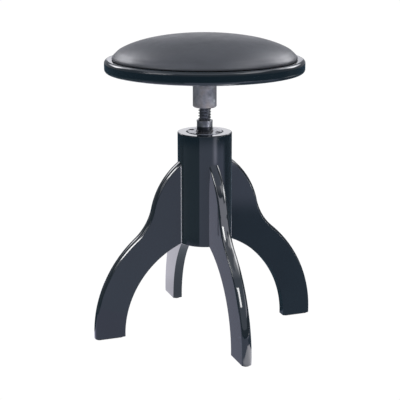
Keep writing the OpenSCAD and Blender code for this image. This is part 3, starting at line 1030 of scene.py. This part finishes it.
makeScrews("nutScrews", "nut_screws", "stand", "black_screws", nutScrewValues, screwValues)
makeScrews("plateScrews", "plate_screws", "seat", "zinc_steel", plateScrewValues, screwValues)
makeScrews("cushionScrews", "cushion_screws", "seat", "zinc_steel", cushionScrewValues, screwValues)
print("nut and screws made")


# the screw spindle: a right-hand trapezoidal thread, a plain top and the plain journal below
spindleValues = {
    "crest": 0.0110,
    "rootRadius": 0.0091,
    "journal": 0.0080,
    "pitch": 0.0050,
    "low": 0.2297,
    "journalTop": 0.2443,
    "threadFrom": 0.2580,
    "threadTo": 0.4400,
    "high": 0.4610,
    "runOut": 0.004,  # the thread fades out over this length at each end
    "steps": 72,
    # shares of one pitch and of the thread's depth
    "shape": (
        (0.00, 0.0), (0.22, 0.0), (0.27, 0.08), (0.40, 0.90), (0.45, 1.0), (0.67, 1.0), (0.72, 0.90),
        (0.85, 0.08), (0.90, 0.0),
    ),
}


def makeSpindle(values):
    steps, pitch, low, high = values["steps"], values["pitch"], values["threadFrom"], values["threadTo"]
    root, crest, runOut = values["rootRadius"], values["crest"], values["runOut"]
    stations, turn = [], -1
    while low + turn * pitch < high + pitch:
        stations += [(turn + share, root + (crest - root) * depth) for share, depth in values["shape"]]
        turn += 1
    points, faces = [], []
    for place, r in stations:
        for i in range(steps):
            a = 2 * math.pi * i / steps
            z = low + pitch * (place + i / steps)
            inside = min(1.0, max(0.0, (z - low) / runOut), max(0.0, (high - z) / runOut))
            cut = root + (r - root) * inside
            points.append((cut * math.cos(a), cut * math.sin(a), min(high, max(low, z))))
    # a row's last point joins the row's first one a turn further up
    lap = len(values["shape"]) * steps
    for row in range(0, (len(stations) - 1) * steps, steps):
        for i in range(row, row + steps - 1):
            faces.append((i, i + 1, i + steps + 1, i + steps))
        if row + lap + steps < len(points):
            i = row + steps - 1
            faces.append((i, row + lap, row + lap + steps, i + steps))
    thread = addMesh("screwSpindle", points, faces, [finishes["screwSteel"]])
    form = bmesh.new()
    form.from_mesh(thread.data)
    bmesh.ops.remove_doubles(form, verts=form.verts, dist=2e-6)
    bmesh.ops.dissolve_degenerate(form, edges=form.edges, dist=1e-6)
    # plain ends, turned down to the journal and up to the sleeve's socket
    journal, bottom, step, top = values["journal"], values["low"], values["journalTop"], values["high"]
    plain = [
        [(0.0, bottom, 0), (journal, bottom, 0.0005), (journal, step, 0), (crest, step, 0.0005),
         (crest, low, 0.0003), (0.0, low + 0.0002, 0)],
        [(0.0, high - 0.0002, 0), (crest, high, 0.0003), (crest, top, 0.0008), (0.0, top, 0)],
    ]
    for corners in plain:
        rings = []
        for r, z in softCorners(corners):
            ring = [form.verts.new(p) for p in ringPoints(r, z, steps)]
            rings.append([ring[i % len(ring)] for i in range(steps)])
        for face in ringFaces(rings):
            form.faces.new(face)
    form.to_mesh(thread.data)
    form.free()
    finishMesh(thread, 32.0, weighted=False)
    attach(thread, "seat")
    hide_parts("spindle")


makeSpindle(spindleValues)
print("spindle threaded")


# the sleeve under the seat, its cross pin and the weld to the plate
sleeveValues = {
    "radius": 0.0210,
    "bore": 0.01115,
    "low": 0.4090,
    "high": 0.4720,
    "bevel": 0.0020,
    "socket": 0.4611,
    "steps": 144,
}


def makeSleeve(values):
    radius, bore, bevel = values["radius"], values["bore"], values["bevel"]
    low, high, socket = values["low"], values["high"], values["socket"]
    line = softCorners([
        (0.0, socket, 0), (bore, socket, 0), (bore, low + 0.0006, 0.0003), (bore + 0.0007, low, 0.0003),
        (radius - bevel, low, 0.0005), (radius, low + bevel, 0.0006), (radius, high, 0), (0.0, high, 0)])
    sleeve = turnedMesh("seatSleeve", line, values["steps"], finishes["worn_steel"])
    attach(sleeve, "seat")
    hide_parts("seat_sleeve")


makeSleeve(sleeveValues)

weldValues = {"ripples": 58, "perRipple": 6, "rows": 7, "leg": 0.0040, "height": 0.4670, "sink": 0.0003}


def makeWeld(values):
    steps, rows = values["ripples"] * values["perRipple"], values["rows"]
    points, faces = [], []
    for i in range(steps):
        a, phase = 2 * math.pi * i / steps, i / values["perRipple"]
        ripple = 0.5 + 0.5 * math.cos(2 * math.pi * phase)
        sway = 0.12 * math.sin(a * 5 + 0.7) + 0.08 * math.sin(a * 11 + 2.1)
        leg = values["leg"] * (0.80 + 0.10 * sway + 0.10 * ripple)
        for k in range(rows + 1):
            t = math.pi / 2 * k / rows
            swell = 0.64 + 0.12 * math.sin(2 * t) + 0.06 * ripple * math.sin(2 * t)
            swell = swell / 0.64 if 0 < k < rows else 1.0
            lag = 0.25 * math.sin(2 * t) * 2 * math.pi / values["ripples"]
            r = sleeveValues["radius"] - values["sink"] + leg * math.cos(t) * swell * 0.98
            z = values["height"] + values["sink"] - leg * math.sin(t) * swell * 0.98
            points.append((r * math.cos(a + lag), r * math.sin(a + lag), z))
    count = rows + 1
    for i in range(steps):
        here, there = i * count, (i + 1) % steps * count
        for k in range(rows):
            faces.append((here + k, there + k, there + k + 1, here + k + 1))
        faces.append((here + rows, there + rows, there, here))
    weld = addMesh("sleeveWeld", points, faces, [finishes["worn_steel"]])
    finishMesh(weld, 50.0, weighted=False)
    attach(weld, "seat")


makeWeld(weldValues)

pinValues = {"radius": 0.0030, "height": 0.4210, "turn": -55, "proud": 0.00008, "steps": 40}


def makePin(values):
    # ground off flush with the sleeve, so each end follows its round
    steps, radius = values["steps"], values["radius"]
    reach = sleeveValues["radius"] + values["proud"]
    profile = [(radius * share, 0.0) for share in (0.0, 0.4, 0.8, 0.94)]
    profile += [(radius * 0.985, 0.00004), (radius, 0.00016)]
    points = []
    for end, line in ((1, profile), (-1, profile[::-1])):
        for r, inset in line:
            for i in range(steps):
                t = 2 * math.pi * i / steps
                y = r * math.cos(t)
                x = end * (math.sqrt(reach * reach - y * y) - inset)
                point = (x, y, values["height"] + r * math.sin(t))
                points.append(turnedPoint(point, math.radians(values["turn"])))
    faces = gridFaces(2 * len(profile), steps)
    pin = addMesh("sleevePin", points, faces, [finishes["zinc_steel"]])
    finishMesh(pin, 30.0)
    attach(pin, "seat")
    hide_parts("sleeve_pin")


makePin(pinValues)
print("sleeve, weld and pin made")


# the cushion: leatherette drawn over foam, swollen by a short cloth simulation inside its tailored shape
cushionValues = {
    "radius": 0.1630,
    "seat": 0.4940,
    "height": 0.0420,
    "tuckHeight": 0.0014,
    "tuckIn": 0.0005,
    "rollPower": 0.88,
    "crownPower": 1.27,
    "hemOuter": 0.1465,
    "hemInner": 0.1345,
    "hemThick": 0.0012,
    "clear": 0.00005,  # the hem's room over the board
    "smaller": 0.0030,  # how much smaller than the finished form the cover is cut
    "least": 0.55,  # the foam fills at least this share of the room
    "aside": 0.0004,
    "pressure": 4.0,
    "weight": 0.25,  # of the leatherette in the simulation, and its stiffness
    "stretchStiffness": 12.0,
    "shearStiffness": 6.0,
    "bendStiffness": 0.8,
    "airDrag": 4.0,
    "frames": 20,
    "around": 160,
    "rows": 44,
    "tuckRows": 5,
}


def cushionLine(values, smaller):
    seat, tuck, rows, tuckRows = values["seat"], values["tuckHeight"], values["rows"], values["tuckRows"]
    a, b = values["radius"] - smaller, values["height"] - tuck - smaller
    line = []
    for k in range(rows + 1):
        # rows lie closer where the crown turns down
        s = math.pi / 2 * (1.0 - k / rows)
        r = a * math.cos(s) ** values["rollPower"] if k else 0.0
        line.append((r, seat + tuck + b * math.sin(s) ** values["crownPower"]))
    for k in range(1, tuckRows + 1):
        s = math.pi / 2 * k / tuckRows
        r = a - values["tuckIn"] * (1.0 - math.cos(s))
        line.append((r, seat + tuck * (1.0 - math.sin(s)) + values["clear"]))
    under, over = seat + values["clear"], seat + values["hemThick"] - 0.0001
    line += [(values["hemOuter"], under), (values["hemInner"], under), (values["hemInner"] - 0.0003, over)]
    return line + [(0.07, over), (0.0, over)]


def swellCushion(cushion, goals, values):
    # the sewn cut swells under pressure, each point outward by no more than its way to the tailored form
    rest = [v.co.copy() for v in cushion.data.vertices]
    still = [i for i, (start, goal) in enumerate(zip(rest, goals)) if (goal - start).length < 1e-5]
    held = cushion.vertex_groups.new(name="held")
    held.add(still, 1.0, "REPLACE")
    cloth = cushion.modifiers.new("swell", "CLOTH")
    cloth.settings.use_pressure = True
    cloth.settings.uniform_pressure_force = values["pressure"]
    cloth.settings.mass = values["weight"]
    cloth.settings.tension_stiffness = values["stretchStiffness"]
    cloth.settings.compression_stiffness = values["stretchStiffness"]
    cloth.settings.shear_stiffness = values["shearStiffness"]
    cloth.settings.bending_stiffness = values["bendStiffness"]
    cloth.settings.air_damping = values["airDrag"]
    cloth.settings.vertex_group_mass = "held"
    cloth.settings.effector_weights.gravity = 0.0
    cloth.collision_settings.use_self_collision = False
    for number in range(1, values["frames"] + 1):
        scene.frame_set(number)
    grown = cushion.evaluated_get(bpy.context.evaluated_depsgraph_get())
    moved = [v.co.copy() for v in grown.to_mesh().vertices]
    grown.to_mesh_clear()
    cushion.modifiers.remove(cloth)
    cushion.vertex_groups.remove(held)
    scene.frame_set(1)
    furthest = 0.0
    for vertex, start, end, goal in zip(cushion.data.vertices, rest, moved, goals):
        step, room = end - start, (goal - start).length
        furthest = max(furthest, step.length)
        if room < 1e-5:
            vertex.co = start
            continue
        way = (goal - start) / room
        along = step.dot(way)
        aside = step - way * along
        if aside.length > values["aside"]:
            aside *= values["aside"] / aside.length
        vertex.co = start + way * min(room, max(values["least"] * room, along)) + aside
    print("cushion swelled, furthest free move", round(furthest * 1000, 1), "mm")


def makeCushion(values):
    form = cushionLine(values, 0.0)
    cut = cushionLine(values, values["smaller"])
    cushion = turnedMesh("seatCushion", cut, values["around"], finishes["leatherette"], 60.0, weighted=False)
    # each point's place on the tailored form
    goals = []
    for vertex in cushion.data.vertices:
        x, y, z = vertex.co
        r = math.hypot(x, y)
        row = min(range(len(cut)), key=lambda k: (cut[k][0] - r) ** 2 + (cut[k][1] - z) ** 2)
        share = form[row][0] / r if r > 1e-6 else 1.0
        goals.append(Vector((x * share, y * share, form[row][1])))
    swellCushion(cushion, goals, values)
    subdivide = cushion.modifiers.new("finer", "SUBSURF")
    subdivide.levels = 1
    subdivide.render_levels = 1
    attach(cushion, "seat")
    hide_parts("cushion_cover", "cushion_foam")


makeCushion(cushionValues)
print("cushion made")
